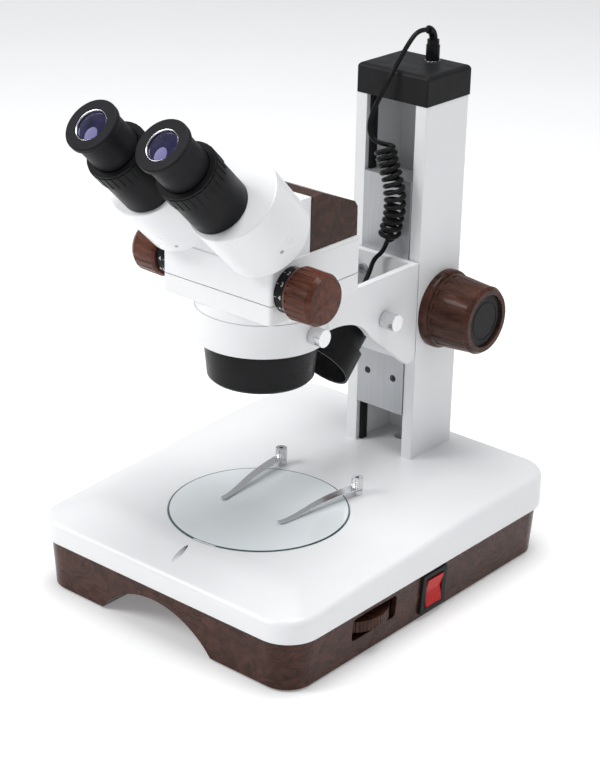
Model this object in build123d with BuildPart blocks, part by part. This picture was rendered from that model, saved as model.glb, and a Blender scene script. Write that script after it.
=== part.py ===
from build123d import *
import math
import os

os.makedirs("parts", exist_ok=True)

# Stereo microscope on a lit base, millimetres.
# Origin: on the table, in the middle plane of the stage and column. +X user's right, +Y back, +Z up.

# ---- Base ----
base_width = 237.5
base_depth = 290.0
base_x = -6.25
base_y = 5.0
base_corner = 25.0
foot_height = 1.6
skirt_top = 38.3
skirt_inset = 3.0
skirt_taper = 4.0
skirt_wall = 4.0
plate_top = 64.7
arch_x = -12.0
arch_half = 51.0
arch_height = 27.0
arch_depth = 52.0
cover_screw_spots = [(-109.5, -12), (97, -12), (-109.5, 120), (97, 120)]

# ---- Stage ----
stage_y = -44.6
glass_radius = 62.5
glass_seat = 59.7
glass_thickness = 5.5
diffuser_radius = 38.0
clip_x = 35.0
clip_y = 18.7

# ---- Column and focus ----
column_half = 30.0
column_front = 86.3
column_back = 135.3
column_top = 326.3
channel_half = 21.0
channel_back = 126.0
cap_top = 347.1
focus_y = 115.8
focus_z = 174.5
gear_module = 1.0
pinion_teeth = 12
slide_face = 85.3
slide_bottom = 97.5
slide_top = 272.5

# ---- Arm ----
arm_top = 216.0
arm_wall = 5.0
ring_radius = 44.4
ring_bottom = 194.3
ring_top = 217.0
head_bore = 38.0
lamp_pivot_y = 48.5
lamp_pivot_z = 185.4

# ---- Lamp: a tube that looks down and forward ----
lamp_angle = 46.1
lamp_mouth = (0.0, 17.9, 152.4)
lamp_sleeve_radius = 21.7
lamp_body_radius = 19.0

# ---- Head ----
head_half = 46.5
head_front = -88.6
head_back = -1.0
head_bottom = 224.5
head_seam = 237.5
head_top = 260.5
head_wall = 3.2
zoom_y = -71.5
zoom_z = 245.0

# ---- Binocular ----
drum_x = 34.0
drum_y = -111.7
drum_z = 312.1
drum_radius = 30.7
drum_length = 45.8
eye_offset_x = 4.8
eye_offset_m = 7.7
eye_tube_radius = 19.8
sides = {"right": 1, "left": -1}

# ---- Lamp cord ----
wire_radius = 1.65
coil_radius = 8.0
plug_x = 5.0
plug_y = 124.0

skirt_height = skirt_top - foot_height
slope = math.radians(skirt_taper)
side_face_z = 20.0
side_drop = (skirt_top - side_face_z) * math.tan(slope)
side_face_x = base_x + base_width / 2 - skirt_inset - side_drop
rear_face_y = base_y + base_depth / 2 - skirt_inset - side_drop


def side_plane(y, out=0.0):
    """Plane on the right flank of the skirt, x_dir to the back, z_dir outwards."""
    origin = (side_face_x + out * math.cos(slope), y, side_face_z - out * math.sin(slope))
    return Plane(origin=origin, x_dir=(0, 1, 0), z_dir=(math.cos(slope), 0, -math.sin(slope)))


def rear_plane(x, out=0.0):
    """Plane on the rear flank of the skirt, x_dir to the left, z_dir outwards."""
    origin = (x, rear_face_y + out * math.cos(slope), side_face_z - out * math.sin(slope))
    return Plane(origin=origin, x_dir=(-1, 0, 0), z_dir=(0, math.cos(slope), -math.sin(slope)))


def across(x):
    """Plane square to the X axis, its local x along +Y and its local y along +Z."""
    return Plane.YZ.offset(x)


def arc_radii(points):
    """Largest tangent arc at each corner of a cord's route."""
    corners = []
    for before, here, after in zip(points, points[1:], points[2:]):
        run_in = Vector(*here) - Vector(*before)
        run_out = Vector(*after) - Vector(*here)
        half_turn = math.radians(run_in.get_angle(run_out)) / 2
        corners.append(0.45 * min(run_in.length, run_out.length) / math.tan(half_turn))
    return corners


# ================= Base =================
with BuildPart() as base_skirt:
    with BuildSketch(Plane(origin=(base_x, base_y, skirt_top), z_dir=(0, 0, -1))):
        RectangleRounded(base_width - 2 * skirt_inset, base_depth - 2 * skirt_inset, base_corner - 3)
    extrude(amount=skirt_height, taper=skirt_taper)
    with BuildSketch(Plane(origin=(base_x, base_y, skirt_top), z_dir=(0, 0, -1))):
        inner_width = base_width - 2 * skirt_inset - 2 * skirt_wall
        inner_depth = base_depth - 2 * skirt_inset - 2 * skirt_wall
        RectangleRounded(inner_width, inner_depth, base_corner - 7)
    extrude(amount=skirt_height, taper=skirt_taper, mode=Mode.SUBTRACT)
    # tunnel behind the front arch
    with BuildSketch(Plane.XZ.offset(131)):
        with BuildLine():
            left_foot = (arch_x - arch_half - 3, foot_height)
            right_foot = (arch_x + arch_half + 3, foot_height)
            ThreePointArc(left_foot, (arch_x, arch_height + 3), right_foot)
            Line(right_foot, left_foot)
        make_face()
    extrude(amount=-arch_depth)
    with BuildSketch(Plane.XZ.offset(142)):
        with BuildLine():
            left_foot = (arch_x - arch_half, 0)
            right_foot = (arch_x + arch_half, 0)
            ThreePointArc(left_foot, (arch_x, arch_height), right_foot)
            Line(right_foot, left_foot)
        make_face()
    extrude(amount=-(arch_depth + 8), mode=Mode.SUBTRACT)
    # pads that carry the front feet, and screw bosses for the bottom cover
    with BuildSketch(Plane.XY.offset(foot_height)):
        with Locations((-91.5, -113.5)):
            RectangleRounded(46, 36, 12)
        with Locations((76, -113.5)):
            RectangleRounded(53, 36, 12)
    extrude(amount=3)
    with BuildSketch(Plane.XY.offset(foot_height + 2)):
        with Locations(*cover_screw_spots):
            Circle(6)
        with Locations((-113.5, -12), (101, -12), (-113.5, 120), (101, 120)):
            Rectangle(9.2, 6)
    extrude(amount=skirt_height - 2)
    with BuildSketch(Plane.XY.offset(foot_height + 2)):
        with Locations(*cover_screw_spots):
            Circle(1.5)
    extrude(amount=12, mode=Mode.SUBTRACT)
    # openings for the dimmer wheel, the rocker switch and the mains inlet
    with BuildSketch(side_plane(-51.5, 5)):
        with Locations((0, 4)):
            RectangleRounded(46, 17, 3)
    extrude(amount=-14, mode=Mode.SUBTRACT)
    with BuildSketch(side_plane(11.5, 5)):
        Rectangle(22, 26)
    extrude(amount=-14, mode=Mode.SUBTRACT)
    with BuildSketch(rear_plane(-45, 5)):
        Rectangle(28, 21)
    extrude(amount=-14, mode=Mode.SUBTRACT)
base_skirt.part.label = "base_skirt"
export_step(base_skirt.part, "parts/base_skirt.step")

bevel_drop = 12.7
bevel_front = -112.0
bevel_reach = 28.0
side_line = Vector(32.5, 212, 0).normalized()
side_slope = math.radians(19.2)
lock_tilt = math.radians(8)
lock_out = (0, -math.cos(lock_tilt), -math.sin(lock_tilt))
lock_plane = Plane(origin=(-1, -106, 62.2), x_dir=(1, 0, 0), z_dir=lock_out)

with BuildPart() as base_top_plate:
    with BuildSketch(Plane((base_x, base_y, skirt_top))):
        RectangleRounded(base_width, base_depth, base_corner)
    extrude(amount=plate_top - skirt_top)
    # sloped front border
    with BuildSketch(across(-140)):
        with BuildLine():
            run = 40.0
            low = plate_top - bevel_drop * run / bevel_reach
            Polyline(
                (bevel_front, plate_top),
                (bevel_front - run, low),
                (bevel_front - run, 90),
                (bevel_front, 90),
                close=True,
            )
        make_face()
    extrude(amount=280, mode=Mode.SUBTRACT)
    # side borders that fade out towards the back
    for side in (1, -1):
        direction = (side * side_line.X, side_line.Y, 0)
        tilt = (side * side_line.Y * math.sin(side_slope), -side_line.X * math.sin(side_slope),
                math.cos(side_slope))
        rim_x = base_x + side * base_width / 2
        with BuildSketch(Plane(origin=(rim_x, 100, plate_top), x_dir=direction, z_dir=tilt)):
            Rectangle(620, 200)
        extrude(amount=40, mode=Mode.SUBTRACT)
    # soft creases between the flat middle and the borders, then the rounded rim
    flat = base_top_plate.faces().sort_by(Axis.Z)[-1]
    creases = [edge for edge in flat.edges() if edge.length > 150 and edge.center().Y < 50]
    sloped = base_top_plate.edges().filter_by(lambda edge: abs(edge.tangent_at(0.5).Z) > 0.2)
    ridges = [edge for edge in sloped if abs(edge.tangent_at(0.5).X) > 0.5 and edge.length > 30]
    fillet(creases + ridges, radius=40)
    walls = base_top_plate.faces().filter_by(lambda face: abs(face.normal_at().Z) < 0.01)
    upper = [edge for wall in walls for edge in wall.edges() if edge.center().Z > 50]
    fillet([edge for edge in upper if abs(edge.tangent_at(0.5).Z) < 0.9], radius=6)
    # underside pockets, stage well and its shelf
    with BuildSketch(Plane((base_x, base_y, skirt_top))):
        RectangleRounded(base_width - 14, base_depth - 14, base_corner - 7)
    extrude(amount=9, mode=Mode.SUBTRACT)
    with BuildSketch(Plane.XY.offset(skirt_top)):
        with Locations((0, 14)):
            RectangleRounded(140, 226, 10)
    extrude(amount=20, mode=Mode.SUBTRACT)
    with BuildSketch(Plane.XY.offset(50)):
        with Locations((0, stage_y)):
            Circle(68)
            Circle(diffuser_radius - 2, mode=Mode.SUBTRACT)
    extrude(amount=11)
    with BuildSketch(Plane.XY.offset(glass_seat)):
        with Locations((0, stage_y)):
            Circle(glass_radius + 0.1)
    extrude(amount=20, mode=Mode.SUBTRACT)
    with BuildSketch(Plane.XY.offset(glass_seat)):
        with Locations((0, stage_y)):
            Circle(diffuser_radius + 0.1)
    extrude(amount=-2, mode=Mode.SUBTRACT)
    with BuildSketch(Plane.XY.offset(glass_seat)):
        with Locations((0, stage_y)):
            with PolarLocations(50, 8, start_angle=15):
                Rectangle(20, 2)
    extrude(amount=-1.5, mode=Mode.SUBTRACT)
    # slanting hole for the stage lock screw, which runs out along the front border
    with BuildSketch(lock_plane):
        Circle(2.1)
    extrude(amount=26, mode=Mode.SUBTRACT)
    # clip holes and the wire hole under the column
    with BuildSketch(Plane.XY.offset(plate_top)):
        with Locations((clip_x, clip_y), (-clip_x, clip_y)):
            Circle(2.55)
    extrude(amount=-12, mode=Mode.SUBTRACT)
    with BuildSketch(Plane.XY.offset(plate_top)):
        with Locations((0, 115)):
            Circle(6)
    extrude(amount=-12, mode=Mode.SUBTRACT)
base_top_plate.part.label = "base_top_plate"
export_step(base_top_plate.part, "parts/base_top_plate.step")

with BuildPart() as bottom_cover:
    with BuildSketch(Plane.XY.offset(foot_height)):
        with Locations((base_x, 30.75)):
            RectangleRounded(base_width - 23, 217.5, 14)
    extrude(amount=2)
    with BuildSketch(Plane.XY.offset(foot_height)):
        with Locations(*cover_screw_spots):
            Circle(1.8)
        with GridLocations(1, 7, 1, 7):
            SlotOverall(60, 3)
    extrude(amount=2, mode=Mode.SUBTRACT)
bottom_cover.part.label = "bottom_cover"
export_step(bottom_cover.part, "parts/bottom_cover.step")

with BuildPart() as cover_screws:
    with BuildSketch(Plane.XY.offset(0.3)):
        with Locations(*cover_screw_spots):
            Circle(3.2)
    extrude(amount=foot_height - 0.3)
    with BuildSketch(Plane.XY.offset(foot_height)):
        with Locations(*cover_screw_spots):
            Circle(1.5)
    extrude(amount=12)
cover_screws.part.label = "cover_screws"
export_step(cover_screws.part, "parts/cover_screws.step")

with BuildPart() as rubber_feet:
    with BuildSketch():
        with Locations((-98.5, -113), (86, -113), (-94.5, 116), (82, 116)):
            Circle(9)
    extrude(amount=foot_height)
    fillet(rubber_feet.edges().group_by(Axis.Z)[0], radius=0.5)
rubber_feet.part.label = "rubber_feet"
export_step(rubber_feet.part, "parts/rubber_feet.step")

# ================= Stage =================
with BuildPart() as stage_glass:
    with BuildSketch(Plane.XY.offset(glass_seat)):
        with Locations((0, stage_y)):
            Circle(glass_radius)
    extrude(amount=glass_thickness)
    chamfer(stage_glass.edges().group_by(Axis.Z)[-1], length=0.5)
stage_glass.part.label = "stage_glass"
export_step(stage_glass.part, "parts/stage_glass.step")

with BuildPart() as stage_diffuser:
    with BuildSketch(Plane.XY.offset(glass_seat - 2)):
        with Locations((0, stage_y)):
            Circle(diffuser_radius)
    extrude(amount=2)
stage_diffuser.part.label = "stage_diffuser"
export_step(stage_diffuser.part, "parts/stage_diffuser.step")

with BuildPart() as stage_lock_screw:
    with BuildSketch(lock_plane.offset(1.6)):
        Circle(2.1)
    extrude(amount=5.6)
    with BuildSketch(lock_plane.offset(7.2)):
        RegularPolygon(1.2, 6)
    extrude(amount=-2.5, mode=Mode.SUBTRACT)
stage_lock_screw.part.label = "stage_lock_screw"
export_step(stage_lock_screw.part, "parts/stage_lock_screw.step")

stage_axis = Axis((0, stage_y, 0), (0, 0, 1))
with BuildPart() as lower_reflector:
    with BuildSketch(Plane.XZ.offset(-stage_y)):
        with BuildLine():
            Polyline((11, 24), (34, 46), (34, 49.9), (32, 49.9), (32, 47), (9.6, 25.5), (9.6, 24), close=True)
        make_face()
    revolve(axis=stage_axis)
lower_reflector.part.label = "lower_reflector"
export_step(lower_reflector.part, "parts/lower_reflector.step")

with BuildPart() as lower_bulb:
    with BuildSketch(Plane.XY.offset(foot_height + 2)):
        with Locations((0, stage_y)):
            Rectangle(24, 20)
    extrude(amount=12)
    with BuildSketch(Plane.XY.offset(foot_height + 14)):
        with Locations((0, stage_y)):
            Circle(9)
    extrude(amount=10)
    with BuildSketch(Plane.XY.offset(foot_height + 24)):
        with Locations((0, stage_y)):
            Circle(6)
    extrude(amount=16)
    fillet(lower_bulb.edges().group_by(Axis.Z)[-1], radius=5.5)
lower_bulb.part.label = "lower_bulb"
export_step(lower_bulb.part, "parts/lower_bulb.step")

# ================= Electrics in the base =================
with BuildPart() as transformer:
    with BuildSketch(Plane.XY.offset(foot_height + 2)):
        with Locations((-58, 72)):
            Rectangle(57, 48)
    extrude(amount=10)
    with BuildSketch(Plane.XY.offset(foot_height + 12)):
        with Locations((-58, 72)):
            Rectangle(57, 22)
    extrude(amount=32)
    with BuildSketch(Plane.XY.offset(foot_height + 17)):
        with Locations((-58, 72)):
            RectangleRounded(40, 44, 5)
    extrude(amount=24)
transformer.part.label = "transformer"
export_step(transformer.part, "parts/transformer.step")

dimmer_x = 86.5
dimmer_y = -51.5

with BuildPart() as circuit_board:
    with BuildSketch(Plane.XY.offset(9)):
        with Locations((60, 6)):
            Rectangle(58, 130)
    extrude(amount=1.6)
    with BuildSketch(Plane.XY.offset(foot_height + 2)):
        with Locations((36, 64), (84, 64), (36, -52), (84, -20)):
            Circle(3)
    extrude(amount=9 - foot_height - 2)
    with BuildSketch(Plane.XY.offset(10.6)):
        with Locations((50, 45), (50, 20)):
            Circle(8)
    extrude(amount=22)
    with BuildSketch(Plane.XY.offset(10.6)):
        with Locations((58, -15)):
            Rectangle(14, 30)
    extrude(amount=20)
    # potentiometer body and spindle under the dimmer wheel
    with BuildSketch(Plane.XY.offset(10.6)):
        with Locations((dimmer_x, dimmer_y)):
            Circle(8)
    extrude(amount=7)
    with BuildSketch(Plane.XY.offset(17.6)):
        with Locations((dimmer_x, dimmer_y)):
            Circle(3)
    extrude(amount=12)
circuit_board.part.label = "circuit_board"
export_step(circuit_board.part, "parts/circuit_board.step")

with BuildPart() as dimmer_wheel:
    with BuildSketch(Plane.XY.offset(20)):
        with Locations((dimmer_x, dimmer_y)):
            Circle(27)
            Circle(3.05, mode=Mode.SUBTRACT)
            with PolarLocations(27.3, 60):
                Circle(0.8, mode=Mode.SUBTRACT)
    extrude(amount=8)
dimmer_wheel.part.label = "dimmer_wheel"
export_step(dimmer_wheel.part, "parts/dimmer_wheel.step")

with BuildPart() as switch_bezel:
    with BuildSketch(side_plane(11.5)):
        RectangleRounded(27, 31, 2)
    extrude(amount=2)
    fillet(switch_bezel.edges().group_by(Axis.X)[-1], radius=0.6)
    with BuildSketch(side_plane(11.5)):
        Rectangle(21.6, 25.6)
    extrude(amount=-17)
    with BuildSketch(side_plane(11.5, 3)):
        Rectangle(17.6, 23.6)
    extrude(amount=-17, mode=Mode.SUBTRACT)
switch_bezel.part.label = "switch_bezel"
export_step(switch_bezel.part, "parts/switch_bezel.step")

# the rocker's face is a shallow V, so that one half stands out
with BuildPart() as rocker_switch:
    with BuildSketch(Plane(origin=(side_face_x, 11.5 + 8.5, side_face_z), x_dir=(1, 0, 0), z_dir=(0, 1, 0))):
        with BuildLine():
            Polyline((-8, 3), (-8, -3), (-2, -9.5), (3.6, -10.6), (0.9, 0), (2.2, 10.6), (-3, 9.5), close=True)
        make_face()
    extrude(amount=-17)
rocker_switch.part.label = "rocker_switch"
export_step(rocker_switch.part, "parts/rocker_switch.step")

with BuildPart() as power_inlet:
    with BuildSketch(rear_plane(-45)):
        RectangleRounded(48, 23.6, 3)
    extrude(amount=2.5)
    with BuildSketch(rear_plane(-45)):
        Rectangle(27.8, 20.8)
    extrude(amount=-20)
    with BuildSketch(rear_plane(-45, 2.5)):
        RectangleRounded(24, 17, 3)
    extrude(amount=-18, mode=Mode.SUBTRACT)
    with BuildSketch(rear_plane(-45, -15.5)):
        with Locations((-7, -1), (7, -1), (0, 3)):
            Rectangle(2, 4)
    extrude(amount=10.5)
    with BuildSketch(rear_plane(-45, 2.5)):
        with Locations((-20, 0), (20, 0)):
            Circle(1.7)
    extrude(amount=-2.5, mode=Mode.SUBTRACT)
power_inlet.part.label = "power_inlet"
export_step(power_inlet.part, "parts/power_inlet.step")

# ================= Stage clips =================
clip_tip = (26.0, -54.0)
clip_dx = clip_tip[0] - clip_x
clip_dy = clip_tip[1] - clip_y
clip_length = math.hypot(clip_dx, clip_dy)

for side_name, side in sides.items():
    post_x = side * clip_x
    along = (side * clip_dx / clip_length, clip_dy / clip_length, 0)
    blade_side = (along[1], -along[0], 0)
    with BuildPart() as stage_clip:
        # pivot pin, foot ring, groove and knurled head
        with BuildSketch(Plane.XY.offset(plate_top - 11)):
            with Locations((post_x, clip_y)):
                Circle(2.5)
        extrude(amount=12)
        with BuildSketch(Plane.XY.offset(plate_top + 0.1)):
            with Locations((post_x, clip_y)):
                Circle(4)
        extrude(amount=3.4)
        with BuildSketch(Plane.XY.offset(plate_top + 3)):
            with Locations((post_x, clip_y)):
                Circle(3)
        extrude(amount=2.5)
        with BuildSketch(Plane.XY.offset(plate_top + 5.2)):
            with Locations((post_x, clip_y)):
                Circle(4.1)
                with PolarLocations(4.2, 24):
                    Circle(0.3, mode=Mode.SUBTRACT)
        extrude(amount=7.4)
        with BuildSketch(Plane.XY.offset(plate_top + 12.6)):
            with Locations((post_x, clip_y)):
                Circle(1.4)
        extrude(amount=-4, mode=Mode.SUBTRACT)
        # spring blade: arched side profile, tapering in plan, with an upturned tip
        with BuildSketch(Plane(origin=(post_x, clip_y, plate_top), x_dir=along, z_dir=blade_side)):
            with BuildLine():
                Spline((0, 4.6), (20, 5.4), (40, 4.2), (clip_length - 5, 1.3), (clip_length, 2))
                Line((clip_length, 2), (clip_length, 2.7))
                Spline((clip_length, 2.7), (clip_length - 5, 2), (40, 4.9), (20, 6.1), (0, 5.3))
                Line((0, 5.3), (0, 4.6))
            make_face()
        extrude(amount=4.2, both=True)
        with BuildSketch(Plane(origin=(post_x, clip_y, plate_top), x_dir=along, z_dir=(0, 0, 1))):
            with BuildLine():
                Polyline((-9, 20), (clip_length + 9, 20), (clip_length + 9, 1.4), (4, 3.9), (-9, 3.9), close=True)
            make_face()
            with BuildLine():
                Polyline((-9, -20), (clip_length + 9, -20), (clip_length + 9, -1.4), (4, -3.9), (-9, -3.9),
                         close=True)
            make_face()
        extrude(amount=16, mode=Mode.SUBTRACT)
    stage_clip.part.label = f"stage_clip_{side_name}"
    export_step(stage_clip.part, f"parts/stage_clip_{side_name}.step")

# ================= Column =================
with BuildPart() as column:
    with BuildSketch(Plane.XY.offset(plate_top)):
        with BuildLine():
            Polyline(
                (-column_half, column_front),
                (-channel_half, column_front),
                (-channel_half, channel_back),
                (channel_half, channel_back),
                (channel_half, column_front),
                (column_half, column_front),
                (column_half, column_back),
                (-column_half, column_back),
                close=True,
            )
        make_face()
    extrude(amount=column_top - plate_top)
    corners = column.edges().filter_by(Axis.Z).group_by(Axis.Y)[-1]
    fillet(corners, radius=3)
    with BuildSketch(across(-35)):
        with Locations((focus_y, focus_z)):
            Circle(7)
    extrude(amount=70, mode=Mode.SUBTRACT)
column.part.label = "column"
export_step(column.part, "parts/column.step")

with BuildPart() as guide_strips:
    with BuildSketch(Plane.XY.offset(plate_top)):
        with Locations((-(channel_half - 1.25), 93), (channel_half - 1.25, 93)):
            Rectangle(2.5, 6)
    extrude(amount=column_top - plate_top)
guide_strips.part.label = "guide_strips"
export_step(guide_strips.part, "parts/guide_strips.step")

with BuildPart() as column_cap:
    with BuildSketch(Plane.XY.offset(column_top)):
        with Locations((0, (column_front + column_back) / 2)):
            Rectangle(2 * column_half + 0.6, column_back - column_front + 0.6)
    extrude(amount=cap_top - column_top)
    fillet(column_cap.edges().group_by(Axis.Z)[-1], radius=3.5)
    fillet(column_cap.edges().filter_by(Axis.Z), radius=1.2)
    with BuildSketch(Plane.XY.offset(column_top)):
        with Locations((0, 106)):
            Rectangle(channel_half * 2 - 2, 36)
    extrude(amount=15, mode=Mode.SUBTRACT)
    with BuildSketch(Plane.XY.offset(cap_top)):
        with Locations((plug_x, plug_y)):
            Circle(5.5)
    extrude(amount=-12, mode=Mode.SUBTRACT)
column_cap.part.label = "column_cap"
export_step(column_cap.part, "parts/column_cap.step")

with BuildPart() as lamp_jack:
    with BuildSketch(Plane.XY.offset(cap_top - 12)):
        with Locations((plug_x, plug_y)):
            Circle(5.4)
    extrude(amount=12.6)
    with BuildSketch(Plane.XY.offset(cap_top + 0.6)):
        with Locations((plug_x, plug_y)):
            Circle(2.8)
    extrude(amount=-9, mode=Mode.SUBTRACT)
lamp_jack.part.label = "lamp_jack"
export_step(lamp_jack.part, "parts/lamp_jack.step")

# ================= Focus drive =================
with BuildPart() as focus_shaft:
    with BuildSketch(across(-64)):
        with Locations((focus_y, focus_z)):
            Circle(4)
    extrude(amount=128)
    # pinion: straight-flanked teeth, slim enough to run free in the rack
    with BuildSketch(across(-5)):
        with Locations((focus_y, focus_z)):
            Circle(4.75 * gear_module)
    extrude(amount=10)
    with BuildSketch(across(-5)):
        with Locations((focus_y, focus_z)):
            with PolarLocations(4.4 * gear_module, pinion_teeth):
                Trapezoid(1.5, 2.6, 74, rotation=-90, align=(Align.CENTER, Align.MIN))
    extrude(amount=10)
focus_shaft.part.label = "focus_shaft"
export_step(focus_shaft.part, "parts/focus_shaft.step")

with BuildPart() as focus_collars:
    for side in (1, -1):
        with BuildSketch(across(side * 20)):
            with Locations((focus_y, focus_z)):
                Circle(6.95)
                Circle(4.05, mode=Mode.SUBTRACT)
        extrude(amount=side * 10)
        with BuildSketch(across(side * column_half)):
            with Locations((focus_y, focus_z)):
                Circle(28.5)
                Circle(4.05, mode=Mode.SUBTRACT)
        extrude(amount=side * 6.5)
    outer = focus_collars.edges().filter_by(GeomType.CIRCLE)
    outer = [edge for edge in outer if edge.radius > 28 and abs(edge.center().X) > 34]
    fillet(outer, radius=3)
focus_collars.part.label = "focus_collars"
export_step(focus_collars.part, "parts/focus_collars.step")

focus_axis = Axis((0, focus_y, focus_z), (1, 0, 0))
with BuildPart() as focus_knobs:
    for side in (1, -1):
        with BuildSketch(Plane.XY.offset(focus_z)):
            with BuildLine():
                Polyline(
                    (side * 36.8, focus_y + 4),
                    (side * 36.8, focus_y + 26.6),
                    (side * 64.5, focus_y + 24.4),
                    (side * 65.8, focus_y + 24.6),
                    (side * 68.5, focus_y + 22.6),
                    (side * 68.5, focus_y + 19),
                    (side * 64.5, focus_y + 19),
                    (side * 64.5, focus_y + 4),
                    close=True,
                )
            make_face()
        revolve(axis=focus_axis)
    # sixteen shallow scallops leave broad ribs
    for side in (1, -1):
        with BuildSketch(across(side * 39)):
            with Locations((focus_y, focus_z)):
                with PolarLocations(27.6, 16):
                    SlotOverall(6.4, 4, rotation=90)
        extrude(amount=side * 24.5, taper=-1.5, mode=Mode.SUBTRACT)
focus_knobs.part.label = "focus_knobs"
export_step(focus_knobs.part, "parts/focus_knobs.step")

with BuildPart() as knob_end_caps:
    for side in (1, -1):
        with BuildSketch(across(side * 64.5)):
            with Locations((focus_y, focus_z)):
                Circle(18.95)
        extrude(amount=side * 2)
        with BuildSketch(across(side * 66.5)):
            with Locations((focus_y, focus_z)):
                Circle(14)
                Circle(13.2, mode=Mode.SUBTRACT)
        extrude(amount=-side * 0.3, mode=Mode.SUBTRACT)
knob_end_caps.part.label = "knob_end_caps"
export_step(knob_end_caps.part, "parts/knob_end_caps.step")

# ================= Focus carriage =================
block_back = focus_y - 6 * gear_module - 3.5
with BuildPart() as slide_plate:
    with BuildSketch(Plane.XY.offset(slide_bottom)):
        with Locations((0, (slide_face + 89.6) / 2)):
            Rectangle(2 * channel_half - 0.8, 89.6 - slide_face)
        with Locations((0, (89 + block_back) / 2)):
            Rectangle(2 * channel_half - 5.8, block_back - 89)
    extrude(amount=slide_top - slide_bottom)
    with BuildSketch(Plane.XZ.offset(-slide_face)):
        with Locations((11.5, 123.8), (-11.5, 123.8)):
            Circle(2.6)
    extrude(amount=-8, mode=Mode.SUBTRACT)
    with BuildSketch(Plane.XZ.offset(-slide_face)):
        with Locations((-14, 158), (14, 158), (-14, 203), (14, 203)):
            Circle(2)
    extrude(amount=-10, mode=Mode.SUBTRACT)
slide_plate.part.label = "slide_plate"
export_step(slide_plate.part, "parts/slide_plate.step")

pitch = math.pi * gear_module
rack_line = focus_y - 6 * gear_module
with BuildPart() as slide_rack:
    with BuildSketch(Plane.XY.offset(focus_z - 24.5 * pitch)):
        with Locations((0, (block_back + rack_line - 1.25) / 2)):
            Rectangle(9, rack_line - 1.25 - block_back)
    extrude(amount=49 * pitch)
    with BuildSketch(across(-4.5)):
        with Locations((rack_line - 1.25, focus_z)):
            with GridLocations(0, pitch, 1, 48):
                Trapezoid(1.9, 2.2, 72, rotation=-90, align=(Align.CENTER, Align.MIN))
    extrude(amount=9)
slide_rack.part.label = "slide_rack"
export_step(slide_rack.part, "parts/slide_rack.step")

with BuildPart() as arm_bracket:
    # cheeks, their lower edge running down to the column
    with BuildSketch(across(-column_half)):
        with BuildLine():
            Polyline((slide_face, arm_top), (slide_face, 147), (82, 143), (76, 143), (33.5, 176.7))
            Spline((33.5, 176.7), (20, 188.6), (9, 192.6), (-4, ring_bottom))
            Polyline((-4, ring_bottom), (-20, ring_bottom), (-20, arm_top), (slide_face, arm_top))
        make_face()
    extrude(amount=2 * column_half)
    # ring that holds the head
    with BuildSketch(Plane.XY.offset(ring_bottom)):
        with Locations((0, stage_y)):
            Circle(ring_radius)
    extrude(amount=ring_top - ring_bottom)
    # hollow between the cheeks, open above and below
    with BuildSketch(Plane.XY.offset(130)):
        with Locations((0, (7 + slide_face - arm_wall) / 2)):
            Rectangle(2 * (column_half - arm_wall), slide_face - arm_wall - 7)
    extrude(amount=100, mode=Mode.SUBTRACT)
    with BuildSketch(Plane.XY.offset(ring_bottom - 1)):
        with Locations((0, stage_y)):
            Circle(head_bore)
    extrude(amount=ring_top - ring_bottom + 2, mode=Mode.SUBTRACT)
    # holes for the lock screw, the lamp's clamp and pivot, and the slide's screws
    with BuildSketch(across(30)):
        with Locations((stage_y, 205.6)):
            Circle(2.55)
    extrude(amount=20, mode=Mode.SUBTRACT)
    with BuildSketch(across(-31)):
        with Locations((lamp_pivot_y, lamp_pivot_z)):
            Circle(2.55)
    extrude(amount=62, mode=Mode.SUBTRACT)
    with BuildSketch(Plane.XZ.offset(-(slide_face - arm_wall - 1))):
        with Locations((-14, 158), (14, 158), (-14, 203), (14, 203)):
            Circle(2.05)
    extrude(amount=-8, mode=Mode.SUBTRACT)
arm_bracket.part.label = "arm_bracket"
export_step(arm_bracket.part, "parts/arm_bracket.step")

with BuildPart() as arm_screws:
    with BuildSketch(Plane.XZ.offset(-(slide_face - arm_wall - 3))):
        with Locations((-14, 158), (14, 158), (-14, 203), (14, 203)):
            Circle(3.5)
    extrude(amount=-3)
    with BuildSketch(Plane.XZ.offset(-(slide_face - arm_wall))):
        with Locations((-14, 158), (14, 158), (-14, 203), (14, 203)):
            Circle(2)
    extrude(amount=-14)
    with BuildSketch(Plane.XZ.offset(-(slide_face - arm_wall - 3))):
        with Locations((-14, 158), (14, 158), (-14, 203), (14, 203)):
            RegularPolygon(1.7, 6)
    extrude(amount=-2, mode=Mode.SUBTRACT)
arm_screws.part.label = "arm_screws"
export_step(arm_screws.part, "parts/arm_screws.step")

with BuildPart() as head_lock_screw:
    with BuildSketch(across(38.4)):
        with Locations((stage_y, 205.6)):
            Circle(2.5)
    extrude(amount=7)
    with BuildSketch(across(44.9)):
        with Locations((stage_y, 205.6)):
            Circle(6)
            with PolarLocations(6.15, 30):
                Circle(0.35, mode=Mode.SUBTRACT)
    extrude(amount=9.6)
head_lock_screw.part.label = "head_lock_screw"
export_step(head_lock_screw.part, "parts/head_lock_screw.step")

with BuildPart() as lamp_clamp_screw:
    with BuildSketch(across(14)):
        with Locations((lamp_pivot_y, lamp_pivot_z)):
            Circle(2.5)
    extrude(amount=17.5)
    with BuildSketch(across(column_half + 0.8)):
        with Locations((lamp_pivot_y, lamp_pivot_z)):
            Circle(6)
            with PolarLocations(6.15, 30):
                Circle(0.35, mode=Mode.SUBTRACT)
    extrude(amount=11)
lamp_clamp_screw.part.label = "lamp_clamp_screw"
export_step(lamp_clamp_screw.part, "parts/lamp_clamp_screw.step")

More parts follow.
